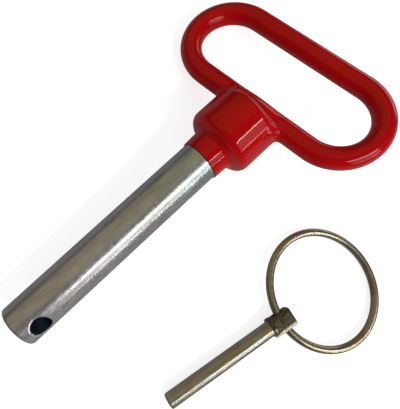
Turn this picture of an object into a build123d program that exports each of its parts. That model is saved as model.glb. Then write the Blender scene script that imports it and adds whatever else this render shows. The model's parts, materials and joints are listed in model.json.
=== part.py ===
from build123d import *
import math
import os

# A hitch pin for a rack, with a dipped loop handle, and the linch pin that keeps it in place.
# The hitch pin lies where it comes to rest: on its tip, its head and one end of the handle.
# The linch pin is drawn out of the cross hole and lies beside it, with its ring on the floor.
# Millimetres, +Z up, the floor at Z = 0, the origin at the middle of the footprint.

# Hitch pin: one forging, a round shank with a barrel head
shank_diameter = 19.0
shank_length = 114.0            # tip to the head's shoulder
tip_round = 1.3
shoulder_width = 6.6            # how far the head stands out past the shank
head_length = 22.0
shoulder_round = 4.2
crown_round = 3.4
neck_fillet = 2.0
neck_swell = 0.45               # radial, left by the forging from the coat's edge to the shoulder

# Cross hole for the linch pin
cross_hole_diameter = 8.6
cross_hole_from_tip = 8.9
cross_hole_turn = 62.5          # degrees round the shank, from square to the handle
cross_hole_chamfer = 0.35

# Handle: a round rod bent to a loop, its ends butted in the saddle of the head
rod_diameter = 9.5
bend_radius = 20.4              # centre line
bend_spacing = 62.3             # between the centres of the two bends
butt_gap = 1.2
rod_rise = 4.2                  # centre line above the head's crown
handle_skew = 2.9               # degrees, as the loop was welded on
handle_offset = 1.0

# Weld: a bead along each side of the rod on the crown, and the filled gap at the butt
bead_radius = 2.8
bead_length = 20.0
bead_rise = 1.2

# Dipped coat over the handle, the head and the neck
coat_thickness = 0.6
coat_neck = 10.2                # coated length of shank below the shoulder

# Linch pin: a round shank with a collar and a cross-drilled lug
linch_diameter = 7.2
linch_length = 55.2             # tip to the collar
linch_tip_round = 0.9
collar_diameter = 9.4
collar_thickness = 1.8
collar_round = 0.5
lug_length = 9.8
lug_width = 8.6
lug_aside = -0.4                # the lug's middle from the shank's axis, along the hole
lug_height = 6.6
lug_round = 1.1

# Spring ring, hinged in the lug
wire_diameter = 3.7
ring_length = 51.8              # centre line of the oval, away from the lug
ring_width = 55.9               # centre line, along the lug's hole
ring_turn = 2.6                 # degrees, how far the oval has slipped round in the hole
ring_clearance = 0.6            # radial, in the drilled hole
hinge_setback = 4.6             # from the collar to the middle of the hole
mouth_flare = 0.4
mouth_depth = 1.0

# Where the linch pin's tip lies from the hitch pin's tip, and which way it points
linch_ahead = 22.9
linch_aside = 66.7
linch_heading = -11.0           # degrees about the vertical

shank_radius = shank_diameter / 2
head_radius = shank_radius + shoulder_width
rod_radius = rod_diameter / 2
coated_rod_radius = rod_radius + coat_thickness
linch_radius = linch_diameter / 2
collar_radius = collar_diameter / 2
wire_radius = wire_diameter / 2


def turned(corners, rounds):
    # a solid of revolution about X, from corners (x, radius) and the rounds at some of them
    outline = make_face(Polyline(*corners, close=True))
    for corner, radius in rounds:
        outline = fillet(outline.vertices().sort_by_distance(corner)[0], radius)
    return revolve(outline, Axis.X)


def head_outline(grow):
    # the head and its neck, from the coat's edge, with every face moved out by grow
    neck = (-coat_neck, shank_radius + grow)
    root = (-grow, shank_radius + neck_swell + grow)
    shoulder = (-grow, head_radius + grow)
    crown = (head_length + grow, head_radius + grow)
    rounds = [(root, neck_fillet - grow), (shoulder, shoulder_round + grow), (crown, crown_round + grow)]
    return [neck, root, shoulder, crown, (head_length + grow, 0)], rounds


def make_forging():
    corners, rounds = head_outline(0)
    tip_edge = (-shank_length, shank_radius)
    forging = turned([(-shank_length, 0), tip_edge] + corners, rounds + [(tip_edge, tip_round)])
    place = Location((cross_hole_from_tip - shank_length, 0, 0), (cross_hole_turn, 0, 0))
    forging -= place * Cylinder(cross_hole_diameter / 2, 2 * shank_diameter)
    mouths = forging.edges().filter_by(GeomType.BSPLINE)
    return chamfer(mouths, cross_hole_chamfer)


# The handle's plane holds the shank's axis; its own X runs out from the middle of the inner bar
handle_place = Location((head_length + rod_rise, handle_offset, 0), (0, 0, handle_skew))
bend_y = bend_spacing / 2


def handle_loop(radius, gap):
    path = Line((0, gap / 2), (0, bend_y))
    path += CenterArc((bend_radius, bend_y), bend_radius, 180, -180)
    path += Line((2 * bend_radius, bend_y), (2 * bend_radius, -bend_y))
    path += CenterArc((bend_radius, -bend_y), bend_radius, 0, -180)
    path += Line((0, -bend_y), (0, -gap / 2))
    start = Plane(origin=(0, gap / 2, 0), z_dir=(0, 1, 0))
    return handle_place * sweep(start * Circle(radius), path=path)


def bead_pair(grow):
    # round-ended bars along the rod, in the corners between it and the crown
    radius = bead_radius + grow
    length = bead_length + 2 * grow
    slot = SlotOverall(length, 2 * radius, rotation=90)
    slot &= Location((radius, 0)) * Rectangle(2 * radius, length)
    bar = revolve(slot, Axis.Y)
    corner = math.sqrt(rod_radius ** 2 - rod_rise ** 2) + bead_radius / 3
    places = [Location((bead_rise - rod_rise, 0, side * corner)) for side in (1, -1)]
    return [handle_place * place * bar for place in places]


def make_hitch_pin():
    forging = make_forging()
    rod = handle_loop(rod_radius, butt_gap)
    butt = handle_place * Rotation(90, 0, 0) * Cylinder(rod_radius, butt_gap)
    beads = bead_pair(0)
    weld = butt
    for bead in beads:
        weld += bead - forging - rod
    corners, rounds = head_outline(coat_thickness)
    coat = turned([(-coat_neck, 0)] + corners, rounds)
    for bead in bead_pair(coat_thickness):
        coat += bead
    coat += handle_loop(coated_rod_radius, 0)
    for core in [forging, rod, butt] + beads:
        coat -= core
    return {"pin_forging": forging - rod - butt, "handle_rod": rod, "handle_weld": weld, "handle_coat": coat}


# The linch pin's own X runs from its tip to its head; the ring hinges about Y in the lug
collar_end = linch_length + collar_thickness
hinge_from_tip = collar_end + hinge_setback


def make_linch_pin():
    corners = [(0, 0), (0, linch_radius), (linch_length, linch_radius),
               (linch_length, collar_radius), (collar_end, collar_radius), (collar_end, 0)]
    rounds = [(corners[1], linch_tip_round), (corners[3], collar_round), (corners[4], collar_round)]
    body = turned(corners, rounds)
    rooted_length = lug_length + lug_round
    lug = Box(rooted_length, lug_width, lug_height)
    lug = fillet(lug.edges(), lug_round)
    body += Location((collar_end + lug_length - rooted_length / 2, lug_aside, 0)) * lug
    hole_radius = wire_radius + ring_clearance
    hinge = Location((hinge_from_tip, 0, 0))
    body -= hinge * Rotation(90, 0, 0) * Cylinder(hole_radius, 2 * lug_width)
    for side in (1, -1):
        mouth = Location((0, lug_aside + side * (lug_width - mouth_depth) / 2, 0), (-90 * side, 0, 0))
        body -= hinge * mouth * Cone(hole_radius, hole_radius + mouth_flare, mouth_depth)
    return body


# The ring's oval, turned in its own plane; half_reach and slip lead from its centre to the hinge
half_length = ring_length / 2
half_width = ring_width / 2
turn_cos = math.cos(math.radians(ring_turn))
turn_sin = math.sin(math.radians(ring_turn))
half_reach = math.hypot(half_length * turn_cos, half_width * turn_sin)
slip = (half_length ** 2 - half_width ** 2) * turn_sin * turn_cos / half_reach
# the wire bows inside the lug's hole, by the same amount to each side of the hole's axis
bow = lug_width ** 2 * half_length / (8 * half_width ** 2)
ring_centre = half_reach - bow / 2
ring_reach = ring_centre + half_reach


def make_ring():
    centre = (ring_centre, slip)
    halves = [EllipticalCenterArc(centre, half_length, half_width, start_angle=angle, arc_size=180,
                                  rotation=ring_turn) for angle in (0, 180)]
    path = halves[0] + halves[1]
    start = Plane(origin=path @ 0, z_dir=path % 0)
    return sweep(start * Circle(wire_radius), path=path)


def rest_tilt(length, tip_radius, tip_edge, shoulder_radius, shoulder_edge):
    # the slope of a stepped round bar that lies on its two rounded edges, in radians
    run = length - tip_edge + shoulder_edge
    rise = shoulder_radius - shoulder_edge - tip_radius + tip_edge
    return math.atan2(rise, run) + math.asin((shoulder_edge - tip_edge) / math.hypot(run, rise))


def axis_height(tilt, radius, edge):
    # how high the axis is at the face whose rounded edge is on the floor
    return (radius - edge) * math.cos(tilt) + edge * (1 - math.sin(tilt))


def hitch_pin_rest():
    # the hitch pin's own frame, as a plane: up is the plane's normal, seen from the pin
    edge = shoulder_round + coat_thickness
    radius = head_radius + coat_thickness
    tilt = rest_tilt(shank_length - coat_thickness, shank_radius, tip_round, radius, edge)
    up_x = math.sin(tilt)
    height = axis_height(tilt, radius, edge) + coat_thickness * up_x
    # the handle rolls over until the bend on the +Y side is on the floor too
    bend = (handle_place * Location((bend_radius, bend_y, 0))).position
    rest = bend.X * up_x + height - coated_rod_radius
    square = bend.Y ** 2 - bend_radius ** 2
    root = math.sqrt((rest * bend.Y) ** 2 - square * (rest ** 2 - (bend_radius * up_x) ** 2))
    up_y = (root - rest * bend.Y) / square
    up = Vector(up_x, up_y, math.sqrt(1 - up_x ** 2 - up_y ** 2))
    ahead = Vector(1, 0, 0) - up * up_x
    floor_plane = Plane(origin=up * -height, x_dir=ahead, z_dir=up)
    return floor_plane.location.inverse()


def linch_pin_rest(pin_tip):
    tilt = rest_tilt(linch_length, linch_radius, linch_tip_round, collar_radius, collar_round)
    height = axis_height(tilt, collar_radius, collar_round) - linch_length * math.sin(tilt)
    spot = Location((pin_tip.X + linch_ahead, pin_tip.Y - linch_aside, height))
    place = spot * Rotation(0, 0, linch_heading) * Rotation(0, -math.degrees(tilt), 0)
    hinge = place * Location((hinge_from_tip, 0, 0))
    # the ring drops about its hinge until its free side is on the floor
    drop = math.degrees(math.asin((hinge.position.Z - wire_radius) / ring_reach))
    ring_place = Location(hinge.position) * Rotation(0, 0, linch_heading) * Rotation(0, drop, 0)
    return place, ring_place


pin_place = hitch_pin_rest()
pin_tip = (pin_place * Location((-shank_length, 0, 0))).position
linch_place, ring_place = linch_pin_rest(pin_tip)

pieces = {name: pin_place * piece for name, piece in make_hitch_pin().items()}
pieces["linch_pin"] = linch_place * make_linch_pin()
pieces["linch_ring"] = ring_place * make_ring()

footprint = Compound(children=[Compound(piece.solids()) for piece in pieces.values()]).bounding_box()
to_origin = Location((-footprint.center().X, -footprint.center().Y, 0))

os.makedirs("parts", exist_ok=True)
for name, piece in pieces.items():
    export_step(to_origin * piece, f"parts/{name}.step")


def report(name, place, direction):
    # prints a point in millimetres and a direction, for the interfaces
    frame = to_origin * place
    along = (frame * Location(direction)).position - frame.position
    print(name, [round(v, 4) for v in frame.position], [round(v, 6) for v in along])


report("shank tip", pin_place * Location((-shank_length, 0, 0)), (-1, 0, 0))
cross_hole = Location((cross_hole_from_tip - shank_length, 0, 0), (cross_hole_turn, 0, 0))
report("cross hole", pin_place * cross_hole, (0, 0, 1))
report("linch tip", linch_place, (-1, 0, 0))
report("ring hinge", ring_place, (0, 1, 0))
report("handle middle", pin_place * handle_place * Location((bend_radius, 0, 0)), (0, 1, 0))
report("ring middle", ring_place * Location((ring_centre, slip, 0)), (1, 0, 0))
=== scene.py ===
import json
import math

import bmesh
import bpy
import numpy as np
from mathutils import Matrix, Vector


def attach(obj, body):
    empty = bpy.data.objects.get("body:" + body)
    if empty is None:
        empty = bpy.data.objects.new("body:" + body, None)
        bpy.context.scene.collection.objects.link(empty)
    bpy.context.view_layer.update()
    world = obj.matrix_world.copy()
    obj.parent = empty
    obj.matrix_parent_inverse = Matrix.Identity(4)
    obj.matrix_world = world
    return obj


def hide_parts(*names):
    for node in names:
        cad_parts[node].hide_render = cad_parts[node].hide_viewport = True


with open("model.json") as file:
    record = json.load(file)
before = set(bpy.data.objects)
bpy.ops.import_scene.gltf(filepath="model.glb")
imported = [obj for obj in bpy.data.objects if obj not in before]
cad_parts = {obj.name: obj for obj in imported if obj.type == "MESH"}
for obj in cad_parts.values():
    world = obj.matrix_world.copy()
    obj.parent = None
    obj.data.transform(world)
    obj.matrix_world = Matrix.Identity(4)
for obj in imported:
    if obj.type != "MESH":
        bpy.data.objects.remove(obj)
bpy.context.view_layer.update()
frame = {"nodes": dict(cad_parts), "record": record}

mm = 0.001
scene = bpy.context.scene
nodes = frame["nodes"]
mounts = {mount["name"]: mount for mount in frame["record"]["mounts"]}
print("frame loaded:", len(nodes), "nodes")


# The hitch pin's own frame: X from the tip to the handle, Y in the plane of the handle,
# the origin on the axis at the head's shoulder. The two mounts on the shank give it.
pinFacts = {
    "shoulderFromMount": 61.45 * mm,     # from the middle of the bare shank
    "holeTurn": math.radians(62.5),      # the cross hole, round the shank from the handle's normal
    "holeRadius": 4.3 * mm,
    "linchTipFromMount": 28.05 * mm,     # from the middle of the linch pin's bare shank
}


def ownFrame(origin, xDir, zDir):
    yDir = zDir.cross(xDir).normalized()
    turn = Matrix((xDir, yDir, xDir.cross(yDir))).transposed()
    return Matrix.Translation(origin) @ turn.to_4x4()


def hitchPinFrame():
    shank = mounts["shank"]
    xDir = -Vector(shank["axis"]).normalized()
    hole = Vector(mounts["cross_hole"]["axis"])
    zDir = Matrix.Rotation(-pinFacts["holeTurn"], 3, xDir) @ hole
    return ownFrame(Vector(shank["pos_m"]) + xDir * pinFacts["shoulderFromMount"], xDir, zDir)


def linchPinFrame():
    shank = mounts["linch_shank"]
    xDir = -Vector(shank["axis"]).normalized()
    tip = Vector(shank["pos_m"]) - xDir * pinFacts["linchTipFromMount"]
    return ownFrame(tip, xDir, Vector((0, 0, 1)))


pinFrame = hitchPinFrame()
linchFrame = linchPinFrame()
holeFrame = ownFrame(Vector(mounts["cross_hole"]["pos_m"]), -Vector(mounts["shank"]["axis"]),
                     Vector(mounts["cross_hole"]["axis"]))
print("pin frame at", [round(v / mm, 2) for v in pinFrame.translation])


def newMaterial(name):
    mat = bpy.data.materials.new(name)
    mat.use_nodes = True
    return mat, mat.node_tree, mat.node_tree.nodes["Principled BSDF"]


def ownCoords(tree, frameMatrix):
    # object coordinates turned into a piece's own frame, in metres
    coords = tree.nodes.new("ShaderNodeTexCoord")
    mapping = tree.nodes.new("ShaderNodeMapping")
    inverse = frameMatrix.inverted()
    mapping.inputs["Location"].default_value = inverse.translation
    mapping.inputs["Rotation"].default_value = inverse.to_euler()
    tree.links.new(coords.outputs["Object"], mapping.inputs["Vector"])
    return mapping.outputs["Vector"]


def stretched(tree, vector, along):
    # draws a pattern out along the piece: 0.1 makes it ten times as long
    mapping = tree.nodes.new("ShaderNodeMapping")
    mapping.inputs["Scale"].default_value = (along, 1, 1)
    tree.links.new(vector, mapping.inputs["Vector"])
    return mapping.outputs["Vector"]


def noise(tree, vector, scale, detail=2.0, rough=0.5, distortion=0.0):
    node = tree.nodes.new("ShaderNodeTexNoise")
    node.inputs["Scale"].default_value = scale
    node.inputs["Detail"].default_value = detail
    node.inputs["Roughness"].default_value = rough
    node.inputs["Distortion"].default_value = distortion
    tree.links.new(vector, node.inputs["Vector"])
    return node.outputs["Fac"]


def ramp(tree, value, stops):
    node = tree.nodes.new("ShaderNodeValToRGB")
    points = node.color_ramp.elements
    while len(points) < len(stops):
        points.new(0.5)
    for point, (at, colour) in zip(points, stops):
        point.position = at
        point.color = (*colour, 1)
    tree.links.new(value, node.inputs["Fac"])
    return node.outputs["Color"]


def fade(low, high, start=0.3, end=0.7):
    # ramp stops from one grey to another
    return [(start, (low, low, low)), (end, (high, high, high))]


def mathNode(tree, operation, *values, clamp=False):
    node = tree.nodes.new("ShaderNodeMath")
    node.operation = operation
    node.use_clamp = clamp
    for socket, value in zip(node.inputs, values):
        if isinstance(value, (int, float)):
            socket.default_value = value
        else:
            tree.links.new(value, socket)
    return node.outputs["Value"]


def mixColour(tree, factor, first, second, blend="MIX"):
    node = tree.nodes.new("ShaderNodeMix")
    node.data_type = "RGBA"
    node.blend_type = blend
    sockets = [socket for socket in node.inputs if socket.enabled]
    for socket, value in zip(sockets, (factor, first, second)):
        if isinstance(value, bpy.types.NodeSocket):
            tree.links.new(value, socket)
        elif isinstance(value, (int, float)):
            socket.default_value = value
        else:
            socket.default_value = (*value, 1)
    return [socket for socket in node.outputs if socket.enabled][0]


def bump(tree, shader, *layers):
    # layers of (height, distance in metres, strength), one over the other
    last = None
    for height, distance, strength in layers:
        node = tree.nodes.new("ShaderNodeBump")
        node.inputs["Distance"].default_value = distance
        node.inputs["Strength"].default_value = strength
        tree.links.new(height, node.inputs["Height"])
        if last is not None:
            tree.links.new(last, node.inputs["Normal"])
        last = node.outputs["Normal"]
    tree.links.new(last, shader.inputs["Normal"])


def separate(tree, vector):
    node = tree.nodes.new("ShaderNodeSeparateXYZ")
    tree.links.new(vector, node.inputs["Vector"])
    return node.outputs["X"], node.outputs["Y"], node.outputs["Z"]


def grained(tree, tone, grain, amount):
    return mixColour(tree, amount, tone, ramp(tree, grain, fade(0.3, 0.7)), "OVERLAY")


# In the finishes below a pattern's size is its waves to a metre, and a relief is its depth
# in metres with its strength.
dipRed = {
    "colour": (0.60, 0.004, 0.006),
    "deep": (0.50, 0.003, 0.004),
    "paintedLipShade": (0.20, 0.002, 0.003),     # painted shade: the last of the coat on the shank is coloured darker red
    "lipShadeWidth": 0.4,                 # millimetres
    "gloss": (0.25, 1.0),            # facing the eye, and turned away from it
    "glossTurn": (0.3, 0.85),
    "roughness": (0.03, 0.09),
    "cloud": 45,
    "smears": 120,
    "sag": 90,
    "sagRelief": (0.3 * mm, 0.15),
    "orangePeel": 900,
    "orangePeelRelief": (0.02 * mm, 0.15),
}


def makeDipRed():
    mat, tree, skin = newMaterial("dipRed")
    place = ownCoords(tree, pinFrame)
    cloud = noise(tree, place, dipRed["cloud"], 3)
    tone = ramp(tree, cloud, [(0.35, dipRed["deep"]), (0.7, dipRed["colour"])])
    # painted shade: the end of the coat on the shank is coloured darker red
    lipShadeStart = (dipRed["lipShadeWidth"] - coat["neckLength"]) * mm
    inLipShade = mathNode(tree, "LESS_THAN", separate(tree, place)[0], lipShadeStart)
    tree.links.new(mixColour(tree, inLipShade, tone, dipRed["paintedLipShade"]), skin.inputs["Base Color"])
    smears = noise(tree, place, dipRed["smears"], 2)
    tree.links.new(ramp(tree, smears, fade(*dipRed["roughness"], end=0.75)), skin.inputs["Roughness"])
    facing = tree.nodes.new("ShaderNodeLayerWeight").outputs["Facing"]
    tree.links.new(ramp(tree, facing, fade(*dipRed["gloss"], *dipRed["glossTurn"])),
                   skin.inputs["Specular IOR Level"])
    bump(tree, skin,
         (noise(tree, place, dipRed["sag"], 1), *dipRed["sagRelief"]),
         (noise(tree, place, dipRed["orangePeel"], 2), *dipRed["orangePeelRelief"]))
    return mat


zinc = {
    "plain": (0.54, 0.54, 0.54),
    "olive": (0.49, 0.51, 0.46),
    "rose": (0.55, 0.51, 0.50),
    "metallic": 0.72,
    "roughness": (0.18, 0.36),
    "tipTint": (1.06, 0.97, 0.99),    # a little rosier towards the tip
    "neckTint": (0.87, 0.94, 0.90),   # and greener towards the neck
    "tintReach": 100 * mm,
    "rim": (0.92, 0.92, 0.92),        # the pale colour of a band on the shank up to the coat's edge, and of the painted highlight round the cross hole
    "rimWidth": 0.7,                  # millimetres
    "rimShare": 0.7,
    "hole": (0.05, 0.115, 0.165),     # painted shade: the inside of the cross hole is coloured a near-black blue
    "holeLip": 0.9 * mm,              # the plating rolls over the hole's edge, and a painted highlight pales the colour round it
    "paintedHoleHighlight": 0.8,
    "drillPitch": 0.9 * mm,
    "cloud": 75,
    "grain": 1700,
    "scratches": 420,
    "spangle": 750,
    "dents": 420,
    "streaks": 2600,
    "rollRelief": (0.4 * mm, 0.9),
    "cloudRelief": (0.25 * mm, 0.2),
    "dentRelief": (0.035 * mm, 0.3),
    "streakRelief": (0.01 * mm, 0.25),
    "grainRelief": (0.008 * mm, 0.25),
    "drillRelief": (0.08 * mm, 0.8),
}


def makeZincSteel():
    mat, tree, skin = newMaterial("zincSteel")
    place = ownCoords(tree, pinFrame)
    x, y, z = separate(tree, place)
    cloud = noise(tree, stretched(tree, place, 0.35), zinc["cloud"], 4, 0.6, 0.5)
    grain = noise(tree, place, zinc["grain"], 3, 0.7)
    scratches = noise(tree, stretched(tree, place, 0.25), zinc["scratches"], 4, 0.6)
    tone = ramp(tree, cloud, [(0.34, zinc["rose"]), (0.47, zinc["plain"]), (0.56, zinc["plain"]),
                              (0.7, zinc["olive"])])
    fromTip = mathNode(tree, "MULTIPLY_ADD", x, 1 / zinc["tintReach"], 1)
    tint = ramp(tree, fromTip, [(0.1, zinc["tipTint"]), (0.8, zinc["neckTint"])])
    tone = mixColour(tree, 1, tone, tint, "MULTIPLY")
    tone = grained(tree, tone, grain, 0.35)
    tone = grained(tree, tone, scratches, 0.45)
    # a paler band of colour on the shank up to the coat's edge
    nearCoat = mathNode(tree, "MULTIPLY_ADD", x, 1 / mm, coat["neckLength"] + zinc["rimWidth"], clamp=True)
    tone = mixColour(tree, mathNode(tree, "MULTIPLY", nearCoat, zinc["rimShare"]), tone, zinc["rim"])
    # the cross hole: its distance from the hole's axis, and its depth along it
    hx, hy, hz = separate(tree, ownCoords(tree, holeFrame))
    off = mathNode(tree, "SQRT", mathNode(tree, "ADD", mathNode(tree, "MULTIPLY", hx, hx),
                                          mathNode(tree, "MULTIPLY", hy, hy)))
    inHole = mathNode(tree, "LESS_THAN", off, pinFacts["holeRadius"] + 0.03 * mm)
    fromEdge = mathNode(tree, "MULTIPLY_ADD", off, 1 / zinc["holeLip"],
                        -pinFacts["holeRadius"] / zinc["holeLip"], clamp=True)
    # painted highlight: a pale ring of colour round the cross hole's edge
    paintedHoleHighlight = ramp(tree, fromEdge, fade(zinc["paintedHoleHighlight"], 0, 0.35, 0.9))
    tone = mixColour(tree, paintedHoleHighlight, tone, zinc["rim"])
    # painted shade inside the cross hole
    tone = mixColour(tree, inHole, tone, zinc["hole"])
    tree.links.new(tone, skin.inputs["Base Color"])
    skin.inputs["Metallic"].default_value = zinc["metallic"]
    spangle = noise(tree, stretched(tree, place, 0.5), zinc["spangle"], 3, 0.65)
    tree.links.new(ramp(tree, spangle, fade(*zinc["roughness"])), skin.inputs["Roughness"])
    streaks = noise(tree, stretched(tree, place, 0.03), zinc["streaks"], 2)
    dents = noise(tree, stretched(tree, place, 0.6), zinc["dents"], 3, 0.6)
    rings = mathNode(tree, "SINE", mathNode(tree, "MULTIPLY", hz, 2 * math.pi / zinc["drillPitch"]))
    rings = mathNode(tree, "MULTIPLY", rings, inHole)
    roll = mathNode(tree, "SINE", mathNode(tree, "MULTIPLY", fromEdge, math.pi / 2))
    bump(tree, skin, (roll, *zinc["rollRelief"]), (cloud, *zinc["cloudRelief"]),
         (dents, *zinc["dentRelief"]), (streaks, *zinc["streakRelief"]),
         (grain, *zinc["grainRelief"]), (rings, *zinc["drillRelief"]))
    return mat


plainSteel = {
    "dark": (0.22, 0.22, 0.22),
    "light": (0.30, 0.30, 0.31),
    "roughness": 0.45,
    "mottle": 400,
    "scale": 1500,
    "scaleRelief": (0.05 * mm, 0.4),
}


def makePlainSteel():
    mat, tree, skin = newMaterial("plainSteel")
    place = ownCoords(tree, pinFrame)
    mottle = noise(tree, place, plainSteel["mottle"], 3)
    tree.links.new(ramp(tree, mottle, [(0.3, plainSteel["dark"]), (0.7, plainSteel["light"])]),
                   skin.inputs["Base Color"])
    skin.inputs["Metallic"].default_value = 1
    skin.inputs["Roughness"].default_value = plainSteel["roughness"]
    bump(tree, skin, (noise(tree, place, plainSteel["scale"], 2), *plainSteel["scaleRelief"]))
    return mat


yellowZinc = {
    # from the thinnest film to the thickest
    "wire": [(0.40, 0.25, 0.18), (0.45, 0.36, 0.23), (0.46, 0.41, 0.32), (0.38, 0.34, 0.21),
             (0.44, 0.36, 0.24)],
    "bar": [(0.46, 0.37, 0.31), (0.49, 0.43, 0.34), (0.45, 0.43, 0.38), (0.41, 0.37, 0.28),
            (0.50, 0.43, 0.33)],
    "filmStops": (0.32, 0.44, 0.52, 0.62, 0.72),
    "wireFilm": 42,
    "barFilm": 90,
    "metallic": 0.88,
    "wireRoughness": (0.26, 0.32),
    "barRoughness": (0.26, 0.33),
    "smears": 110,
    "waves": 120,
    "waveRelief": (0.03 * mm, 0.2),
    "wireGrain": 1800,
    "barGrain": 1500,
    "drawMarks": 1300,
    # the rough skin of the forged head, darkest to palest
    "forged": [(0.065, 0.055, 0.038), (0.22, 0.185, 0.13)],
    "forgedMottle": 1100,
    "forgedRelief": (0.12 * mm, 0.6),
    "forgedFade": 0.5 * mm,
    "forgedMargin": 0.4,              # millimetres that it stays back from the sloping face
}


def yellowTone(tree, place, size, tones):
    # patches of bronze, brass and olive, as a chromate film turns with its thickness
    film = noise(tree, place, size, 3, 0.55, 0.6)
    return ramp(tree, film, list(zip(yellowZinc["filmStops"], tones)))


def yellowSheen(tree, skin, place, roughness):
    skin.inputs["Metallic"].default_value = yellowZinc["metallic"]
    smears = noise(tree, place, yellowZinc["smears"], 2)
    tree.links.new(ramp(tree, smears, fade(*roughness)), skin.inputs["Roughness"])
    return noise(tree, place, yellowZinc["waves"], 2), *yellowZinc["waveRelief"]


def makeYellowWire():
    mat, tree, skin = newMaterial("yellowZincWire")
    place = ownCoords(tree, linchFrame)
    grain = noise(tree, place, yellowZinc["wireGrain"], 3, 0.6)
    tone = yellowTone(tree, place, yellowZinc["wireFilm"], yellowZinc["wire"])
    tree.links.new(grained(tree, tone, grain, 0.15), skin.inputs["Base Color"])
    bump(tree, skin, yellowSheen(tree, skin, place, yellowZinc["wireRoughness"]))
    return mat


def makeYellowForged():
    # the shank is turned and plated; the collar and the lug keep their rough forged skin on top
    mat, tree, skin = newMaterial("yellowZincForged")
    place = ownCoords(tree, linchFrame)
    x, y, z = separate(tree, place)
    start = linch["length"] * mm
    edge = (linch["lugAside"] - linch["facetStart"] - yellowZinc["forgedMargin"]) * mm
    steep = 1 / yellowZinc["forgedFade"]
    onHead = mathNode(tree, "MULTIPLY_ADD", x, steep, 0.5 - steep * start, clamp=True)
    onTop = mathNode(tree, "MULTIPLY_ADD", y, steep, 0.5 - steep * edge, clamp=True)
    rough = mathNode(tree, "MULTIPLY", onHead, onTop)
    grain = noise(tree, place, yellowZinc["barGrain"], 4, 0.7)
    mottle = noise(tree, place, yellowZinc["forgedMottle"], 4, 0.75)
    scale = ramp(tree, mottle, list(zip((0.38, 0.62), yellowZinc["forged"])))
    drawn = noise(tree, stretched(tree, place, 0.06), yellowZinc["drawMarks"], 3)
    tone = yellowTone(tree, stretched(tree, place, 0.6), yellowZinc["barFilm"], yellowZinc["bar"])
    tone = grained(tree, grained(tree, tone, drawn, 0.5), grain, 0.3)
    tree.links.new(mixColour(tree, rough, tone, scale), skin.inputs["Base Color"])
    bump(tree, skin, yellowSheen(tree, skin, place, yellowZinc["barRoughness"]),
         (mathNode(tree, "MULTIPLY", mottle, rough), *yellowZinc["forgedRelief"]))
    return mat


# The dipped coat, in millimetres in the pin's own frame
coat = {
    "thickness": 0.6, "headRadius": 16.1, "headLength": 22.0, "shoulderRound": 4.2, "crownRound": 3.4,
    "neckRadius": 9.5, "neckSwell": 0.45, "neckLength": 10.2, "lipRound": 0.45, "neckBlend": 3.2,
    "neckRoot": 8.0,                              # how far the neck runs on inside the head
    "rodRadius": 4.75, "bendRadius": 20.4, "bendSpacing": 62.3, "rodRise": 4.2, "rodOffset": 1.0,
    "skew": math.radians(2.9), "rodBlend": 4.5,
    "beadRadius": 2.8, "beadLength": 20.0, "beadRise": 1.2, "beadBlend": 3.0,
    "webBlend": 4.0, "webReach": 11.0, "webRise": 6,                  # the dip has bridged the saddle
    "drip": (19.8, -13.9, 5.2), "dripRadius": 1.7, "dripBlend": 3.2,  # and run together beside it
    "voxel": 0.42,
}


def smoothUnion(a, b, reach):
    # the nearer of two distances, with a soft web where they meet
    h = np.clip(0.5 + 0.5 * (b - a) / reach, 0, 1)
    return b + (a - b) * h - reach * h * (1 - h)


def roundedSlab(x, r, low, high, radius, lowRound, highRound):
    # distance to a turned drum from low to high, with its two rims rounded
    middle = (low + high) / 2
    rim = np.where(x < middle, lowRound, highRound)
    qx = np.abs(x - middle) - (high - low) / 2 + rim
    qr = r - radius + rim
    return np.minimum(np.maximum(qx, qr), 0) + np.hypot(np.maximum(qx, 0), np.maximum(qr, 0)) - rim


def coatDistance(p):
    # p: points in the pin's own frame, in millimetres
    grow = coat["thickness"]
    x, y, z = p.T
    r = np.hypot(y, z)
    head = roundedSlab(x, r, -grow, coat["headLength"] + grow, coat["headRadius"] + grow,
                       coat["shoulderRound"] + grow, coat["crownRound"] + grow)
    swell = coat["neckSwell"] * np.clip(1 + x / coat["neckLength"], 0, 1)
    neck = roundedSlab(x, r - swell, -coat["neckLength"], coat["neckRoot"], coat["neckRadius"] + grow,
                       coat["lipRound"], 1.0)
    body = smoothUnion(head, neck, coat["neckBlend"])
    # the handle's plane: its own X runs out from the middle of the inner bar
    c, s = math.cos(coat["skew"]), math.sin(coat["skew"])
    dx, dy = x - coat["headLength"] - coat["rodRise"], y - coat["rodOffset"]
    hx, hy = c * dx + s * dy, -s * dx + c * dy
    bend, halfSpan = coat["bendRadius"], coat["bendSpacing"] / 2
    inPlane = np.hypot(hx - bend, np.maximum(np.abs(hy) - halfSpan, 0)) - bend
    rod = np.hypot(inPlane, z) - coat["rodRadius"] - grow
    corner = math.sqrt(coat["rodRadius"] ** 2 - coat["rodRise"] ** 2) + coat["beadRadius"] / 3
    reach = coat["beadLength"] / 2 - coat["beadRadius"]
    bx = hx - coat["beadRise"] + coat["rodRise"]
    by = np.maximum(np.abs(hy) - reach, 0)
    bead = np.sqrt(bx ** 2 + by ** 2 + (np.abs(z) - corner) ** 2) - coat["beadRadius"] - grow
    body = smoothUnion(body, bead, coat["beadBlend"])
    drip = np.linalg.norm(p - np.array(coat["drip"]), axis=1) - coat["dripRadius"]
    body = smoothUnion(body, drip, coat["dripBlend"])
    bridged = np.exp(-(hy / coat["webReach"]) ** 2) * np.clip(z / coat["webRise"], 0, 1)
    return smoothUnion(body, rod, coat["rodBlend"] + coat["webBlend"] * bridged)


def turned(bm, outline, steps):
    # an outline of (along, radius) spun round the X axis
    verts = [bm.verts.new((x, r, 0)) for x, r in outline]
    edges = [bm.edges.new(pair) for pair in zip(verts, verts[1:])]
    bmesh.ops.spin(bm, geom=verts + edges, cent=(0, 0, 0), axis=(1, 0, 0), angle=2 * math.pi,
                   steps=steps, use_merge=True)


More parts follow.
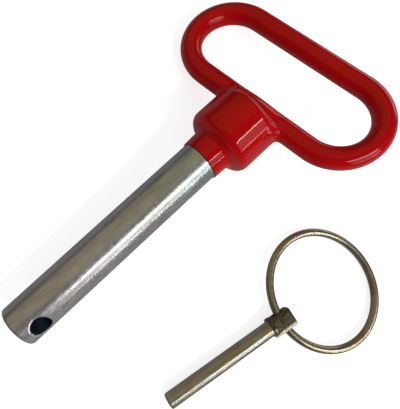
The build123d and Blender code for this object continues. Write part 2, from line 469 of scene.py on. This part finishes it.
def coatRod(bm):
    # the bent rod: a circle pushed along the two straights and spun round the two bends
    half, bend = coat["bendSpacing"] / 2, coat["bendRadius"]
    across = Matrix.Translation((0, -half, 0)) @ Matrix.Rotation(math.pi / 2, 4, "X")
    ring = bmesh.ops.create_circle(bm, segments=32, radius=coat["rodRadius"] + coat["thickness"],
                                   matrix=across)
    loop = list({edge for vert in ring["verts"] for edge in vert.link_edges})
    for side in (1, -1):
        grown = bmesh.ops.extrude_edge_only(bm, edges=loop)["geom"]
        loop = [item for item in grown if isinstance(item, bmesh.types.BMEdge)]
        verts = [item for item in grown if isinstance(item, bmesh.types.BMVert)]
        bmesh.ops.translate(bm, verts=verts, vec=(0, side * 2 * half, 0))
        spun = bmesh.ops.spin(bm, geom=verts + loop, cent=(bend, side * half, 0), axis=(0, 0, -1),
                              angle=math.pi, steps=32)["geom_last"]
        loop = [item for item in spun if isinstance(item, bmesh.types.BMEdge)]
    place = Matrix.Translation((coat["headLength"] + coat["rodRise"], coat["rodOffset"], 0))
    bmesh.ops.transform(bm, matrix=place @ Matrix.Rotation(coat["skew"], 4, "Z"), verts=bm.verts)


def coatDrum(bm):
    # the turned head and neck, with their rims still sharp
    grow = coat["thickness"]
    neck, head = coat["neckRadius"] + grow, coat["headRadius"] + grow
    low, crown = -coat["neckLength"], coat["headLength"] + grow
    outline = [(low, 0), (low, neck), (-grow, neck), (-grow, head), (crown, head), (crown, 0)]
    turned(bm, outline, 64)


def coatBase():
    # overlapping closed shapes, joined later into one skin
    bm = bmesh.new()
    coatRod(bm)
    coatDrum(bm)
    bmesh.ops.remove_doubles(bm, verts=bm.verts, dist=0.001)
    bmesh.ops.recalc_face_normals(bm, faces=bm.faces)
    return bm


def meshObject(name, bm):
    mesh = bpy.data.meshes.new(name)
    bm.to_mesh(mesh)
    bm.free()
    piece = bpy.data.objects.new(name, mesh)
    bpy.context.collection.objects.link(piece)
    return piece


skinning = {
    "settleRounds": 4,     # to bring the rough skin onto the field
    "smoothRounds": 3,     # of evening out the faces
    "followRounds": 2,     # of settling after each of these
    "slopeStep": 0.01,     # millimetres
    "shadeStep": 0.08,
    "maxMove": 1,          # millimetres in one round
    "minSteepness": 0.2,
}


def slopeOf(field, points, step):
    rises = [field(points + step * axis) - field(points - step * axis) for axis in np.eye(3)]
    return np.stack(rises, axis=1) / (2 * step)


def settle(points, field, rounds):
    # moves points along the field's slope until they lie on its skin
    for _ in range(rounds):
        slope = slopeOf(field, points, skinning["slopeStep"])
        steepness = np.maximum((slope ** 2).sum(1), skinning["minSteepness"])
        move = np.clip(field(points), -skinning["maxMove"], skinning["maxMove"]) / steepness
        points = points - slope * move[:, None]
    return points


def readPoints(mesh):
    points = np.empty(len(mesh.vertices) * 3)
    mesh.vertices.foreach_get("co", points)
    return points.reshape(-1, 3)


def remeshPiece(piece, voxel):
    remesh = piece.modifiers.new("skin", "REMESH")
    remesh.mode = "VOXEL"
    remesh.voxel_size = voxel


def skinOver(name, bm, field, voxel, frameMatrix, drill=None):
    # one closed skin over the rough shape in bm, settled on the field, in millimetres until the end
    piece = meshObject(name, bm)
    remeshPiece(piece, voxel)
    if drill is not None:
        bore = piece.modifiers.new("bore", "BOOLEAN")
        bore.operation = "DIFFERENCE"
        bore.object = drill
        remeshPiece(piece, voxel)
    finished = piece.evaluated_get(bpy.context.evaluated_depsgraph_get())
    skin = bpy.data.meshes.new_from_object(finished)
    piece.modifiers.clear()
    piece.data = skin
    points = settle(readPoints(skin), field, skinning["settleRounds"])
    for _ in range(skinning["smoothRounds"]):
        skin.vertices.foreach_set("co", points.ravel())
        bm = bmesh.new()
        bm.from_mesh(skin)
        bmesh.ops.smooth_vert(bm, verts=bm.verts, factor=0.5, use_axis_x=True, use_axis_y=True,
                              use_axis_z=True)
        bm.to_mesh(skin)
        bm.free()
        points = settle(readPoints(skin), field, skinning["followRounds"])
    skin.vertices.foreach_set("co", points.ravel())
    skin.transform(frameMatrix @ Matrix.Scale(mm, 4))
    skin.shade_smooth()
    # the field's own slope shades the skin more evenly than its small faces do
    normals = slopeOf(field, points, skinning["shadeStep"]) @ np.array(frameMatrix.to_3x3()).T
    normals /= np.linalg.norm(normals, axis=1)[:, None]
    skin.normals_split_custom_set_from_vertices(normals)
    print(name, len(skin.vertices), "vertices")
    return piece


def makeCoat(material):
    piece = skinOver("handleCoat", coatBase(), coatDistance, coat["voxel"], pinFrame)
    piece.data.materials.append(material)
    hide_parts("handle_coat")
    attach(piece, "hitch_pin")


# The linch pin, in millimetres, X from the tip to the head
linch = {
    "radius": 3.6, "length": 55.2, "tipRound": 0.9,
    "collarRadius": 4.7, "collarLength": 1.8, "collarRound": 0.4,
    "lugLength": 9.8, "lugWidth": 8.6, "lugHeight": 6.6, "lugAside": -0.4, "lugRound": 0.4,
    "lugRoot": 1,                      # how far the lug runs on inside the collar
    "facet": math.radians(22), "facetStart": 2.7, "lugChamfer": 0.7,
    "holeRadius": 2.45, "holeSetback": 4.6, "mouthRound": 0.35,
    "blend": 0.3, "voxel": 0.24,
}


def roundedBox(x, y, z, half, rim):
    q = np.stack([np.abs(x) - half[0] + rim, np.abs(y) - half[1] + rim, np.abs(z) - half[2] + rim])
    return np.minimum(q.max(0), 0) + np.sqrt((np.maximum(q, 0) ** 2).sum(0)) - rim


def linchDistance(p):
    x, y, z = p.T
    r = np.hypot(y, z)
    collarEnd = linch["length"] + linch["collarLength"]
    shank = roundedSlab(x, r, 0, collarEnd, linch["radius"], linch["tipRound"], 0.5)
    collar = roundedSlab(x, r, linch["length"], collarEnd, linch["collarRadius"], linch["collarRound"],
                         linch["collarRound"])
    halfLug = (linch["lugLength"] / 2 + linch["lugRoot"], linch["lugWidth"] / 2, linch["lugHeight"] / 2)
    lx, ly = x - collarEnd - linch["lugLength"] / 2 + linch["lugRoot"], y - linch["lugAside"]
    lug = roundedBox(lx, ly, z, halfLug, linch["lugRound"])
    corner = (np.abs(ly) - halfLug[1] + np.abs(z) - halfLug[2] + linch["lugChamfer"]) / math.sqrt(2)
    # the upper and lower faces fall away a little towards the sides
    sideways = (np.abs(ly) - linch["facetStart"]) * math.sin(linch["facet"])
    slope = sideways + (np.abs(z) - halfLug[2]) * math.cos(linch["facet"])
    lug = np.maximum(np.maximum(lug, slope), corner)
    body = smoothUnion(smoothUnion(shank, collar, linch["blend"]), lug, linch["blend"])
    hole = linch["holeRadius"] - np.hypot(x - collarEnd - linch["holeSetback"], z)
    return -smoothUnion(-body, -hole, linch["mouthRound"])


def linchBase():
    # overlapping closed shapes: a turned bar with its collar, and a block
    bm = bmesh.new()
    collarEnd = linch["length"] + linch["collarLength"]
    rim, neck = linch["collarRadius"], linch["radius"]
    turned(bm, [(0, 0), (0, neck), (linch["length"], neck), (linch["length"], rim), (collarEnd, rim),
                (collarEnd, 0)], 48)
    bmesh.ops.remove_doubles(bm, verts=bm.verts, dist=0.001)
    size = (linch["lugLength"] + 2 * linch["lugRoot"], linch["lugWidth"], linch["lugHeight"], 1)
    middle = (collarEnd + linch["lugLength"] / 2 - linch["lugRoot"], linch["lugAside"], 0)
    bmesh.ops.create_cube(bm, size=1, matrix=Matrix.Translation(middle) @ Matrix.Diagonal(size))
    bmesh.ops.recalc_face_normals(bm, faces=bm.faces)
    return bm


def linchDrill():
    hole = (linch["length"] + linch["collarLength"] + linch["holeSetback"], 0, 0)
    bm = bmesh.new()
    bmesh.ops.create_cone(bm, cap_ends=True, segments=48, radius1=linch["holeRadius"],
                          radius2=linch["holeRadius"], depth=3 * linch["lugWidth"],
                          matrix=Matrix.Translation(hole) @ Matrix.Rotation(math.pi / 2, 4, "X"))
    return meshObject("linchDrill", bm)


def makeLinchPin(material):
    drill = linchDrill()
    piece = skinOver("linchPin", linchBase(), linchDistance, linch["voxel"], linchFrame, drill)
    bpy.data.objects.remove(drill)
    piece.data.materials.append(material)
    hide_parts("linch_pin")
    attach(piece, "hitch_pin")


studio = {
    "floorSize": 6.0,
    "floorColour": (0.78, 0.78, 0.78),
    "mirroredColour": (0.34, 0.34, 0.34),   # the same paper as metal and lacquer see it
    "floorGlow": 0.75,                      # what the camera sees beyond the light on the paper
    "mirrorShare": 0.05,                    # how much of that glow metal and lacquer see
    "roomLight": 0.30,
    "tentRadius": 1.6,
    "tentCloth": (0.03, 0.03, 0.03),
    "ceiling": (0.30, 0.255, 0.13),
    "ceilingLean": math.radians(30.6),      # its middle from straight up, away from the window
    "ceilingReach": math.radians(41),
    "ceilingFade": (-0.08, 0.04),           # in the cosine of its reach
    "farWall": (1.4, 1.35, 1.3),            # a paler wall behind the handle
    "farWallReach": math.radians(24),
    "farWallFade": 0.06,                    # metres
}


def seenDirectly(tree, mirrorShare):
    # 1 for what the camera sees, and a share of it for what mirror-like and clear surfaces see
    rays = tree.nodes.new("ShaderNodeLightPath")
    mirrored = mathNode(tree, "MAXIMUM", rays.outputs["Is Glossy Ray"], rays.outputs["Is Transmission Ray"])
    mirrored = mathNode(tree, "MULTIPLY", mirrored, mirrorShare)
    return mathNode(tree, "MAXIMUM", rays.outputs["Is Camera Ray"], mirrored)


def makeFloor():
    bm = bmesh.new()
    bmesh.ops.create_grid(bm, x_segments=1, y_segments=1, size=studio["floorSize"] / 2)
    floor = meshObject("studioFloor", bm)
    mat, tree, paper = newMaterial("floorPaper")
    mirrored = tree.nodes.new("ShaderNodeLightPath").outputs["Is Glossy Ray"]
    tree.links.new(mixColour(tree, mirrored, studio["floorColour"], studio["mirroredColour"]),
                   paper.inputs["Base Color"])
    paper.inputs["Roughness"].default_value = 1
    paper.inputs["Specular IOR Level"].default_value = 0
    paper.inputs["Emission Color"].default_value = (1, 1, 1, 1)
    seen = seenDirectly(tree, studio["mirrorShare"])
    tree.links.new(mathNode(tree, "MULTIPLY", seen, studio["floorGlow"]),
                   paper.inputs["Emission Strength"])
    floor.data.materials.append(mat)


def makeTent():
    # a dark room round the table with a warm ceiling, seen only in reflections
    bm = bmesh.new()
    bmesh.ops.create_uvsphere(bm, u_segments=64, v_segments=32, radius=studio["tentRadius"])
    bmesh.ops.bisect_plane(bm, geom=bm.verts[:] + bm.edges[:] + bm.faces[:], plane_co=(0, 0, 0.001),
                           plane_no=(0, 0, -1), clear_outer=True)
    tent = meshObject("studioTent", bm)
    mat, tree, cloth = newMaterial("tentCloth")
    cloth.inputs["Base Color"].default_value = (0, 0, 0, 1)
    cloth.inputs["Specular IOR Level"].default_value = 0
    coords = tree.nodes.new("ShaderNodeTexCoord")
    x, y, z = separate(tree, coords.outputs["Object"])
    radius, lean, edge = studio["tentRadius"], studio["ceilingLean"], math.cos(studio["ceilingReach"])
    upwards = mathNode(tree, "ADD", mathNode(tree, "MULTIPLY", y, math.sin(lean) / radius),
                       mathNode(tree, "MULTIPLY", z, math.cos(lean) / radius))
    dark, pale = studio["ceilingFade"]
    ceiling = ramp(tree, upwards, [(edge + dark, studio["tentCloth"]), (edge + pale, studio["ceiling"])])
    pastWall = mathNode(tree, "SUBTRACT", x, math.cos(studio["farWallReach"]) * radius)
    onWall = ramp(tree, pastWall, fade(0, 1, 0, studio["farWallFade"]))
    tree.links.new(mixColour(tree, onWall, ceiling, studio["farWall"]), cloth.inputs["Emission Color"])
    cloth.inputs["Emission Strength"].default_value = 1
    tent.data.materials.append(mat)
    tent.visible_camera = False
    tent.visible_diffuse = False
    tent.visible_shadow = False
    tent.visible_transmission = False


def makeWorld():
    world = bpy.data.worlds.new("studioWorld")
    world.use_nodes = True
    tree = world.node_tree
    back = tree.nodes["Background"]
    back.inputs["Color"].default_value = (1, 1, 1, 1)
    seen = seenDirectly(tree, 1)
    room = studio["roomLight"]
    tree.links.new(mathNode(tree, "ADD", mathNode(tree, "MULTIPLY", seen, 1 - room), room),
                   back.inputs["Strength"])
    scene.world = world


window = {
    "azimuth": math.radians(-83),
    "elevation": math.radians(35),
    "distance": 0.95,
    "width": 0.74,
    # each slat's height and its radiance, from the top one down, with a gap between them
    "slats": [(0.06, 20), (0.07, 2.2), (0.07, 1.8), (0.07, 1.8), (0.07, 1.8), (0.05, 10)],
    "gap": 0.04,
    "tint": (0.97, 1.0, 1.0),
}


def makeWindow():
    # soft lamps in a row, like a window with a blind
    azimuth, elevation = window["azimuth"], window["elevation"]
    toLamp = Vector((math.cos(elevation) * math.cos(azimuth), math.cos(elevation) * math.sin(azimuth),
                     math.sin(elevation)))
    middle = toLamp * window["distance"]
    turn = toLamp.to_track_quat("Z", "Y")
    heights = [height for height, radiance in window["slats"]]
    top = (sum(heights) + window["gap"] * (len(heights) - 1)) / 2
    for index, (height, radiance) in enumerate(window["slats"]):
        lamp = bpy.data.lights.new(f"windowSlat{index}", "AREA")
        lamp.shape = "RECTANGLE"
        lamp.size = window["width"]
        lamp.size_y = height
        lamp.color = window["tint"]
        lamp.energy = radiance * math.pi * lamp.size * lamp.size_y
        slat = bpy.data.objects.new(lamp.name, lamp)
        slat.location = middle + turn @ Vector((0, top - height / 2, 0))
        slat.rotation_euler = turn.to_euler()
        bpy.context.collection.objects.link(slat)
        top -= height + window["gap"]


view = {
    "place": (-0.04711, 0.01080, 0.18429),
    "turn": (10.376, -7.116, -43.715),    # degrees
    "lens": 34.69,
    "shift": (0.0482, 0.0064),
}


def makeCamera():
    data = bpy.data.cameras.new("studioCamera")
    data.sensor_width = 36
    data.lens = view["lens"]
    data.shift_x, data.shift_y = view["shift"]
    data.clip_start = 0.01
    camera = bpy.data.objects.new("studioCamera", data)
    camera.location = view["place"]
    camera.rotation_euler = [math.radians(angle) for angle in view["turn"]]
    bpy.context.collection.objects.link(camera)
    scene.camera = camera


def dressNode(name, material):
    node = nodes[name]
    node.data.materials.clear()
    node.data.materials.append(material)
    for face in node.data.polygons:
        face.material_index = 0


makeFloor()
makeTent()
makeWorld()
makeWindow()
makeCamera()
scene.view_settings.view_transform = "Standard"
print("studio ready")

steel = makePlainSteel()
dressNode("handle_rod", steel)
dressNode("handle_weld", steel)
dressNode("pin_forging", makeZincSteel())
makeLinchPin(makeYellowForged())
dressNode("linch_ring", makeYellowWire())
makeCoat(makeDipRed())
print("materials on", len(nodes), "nodes")
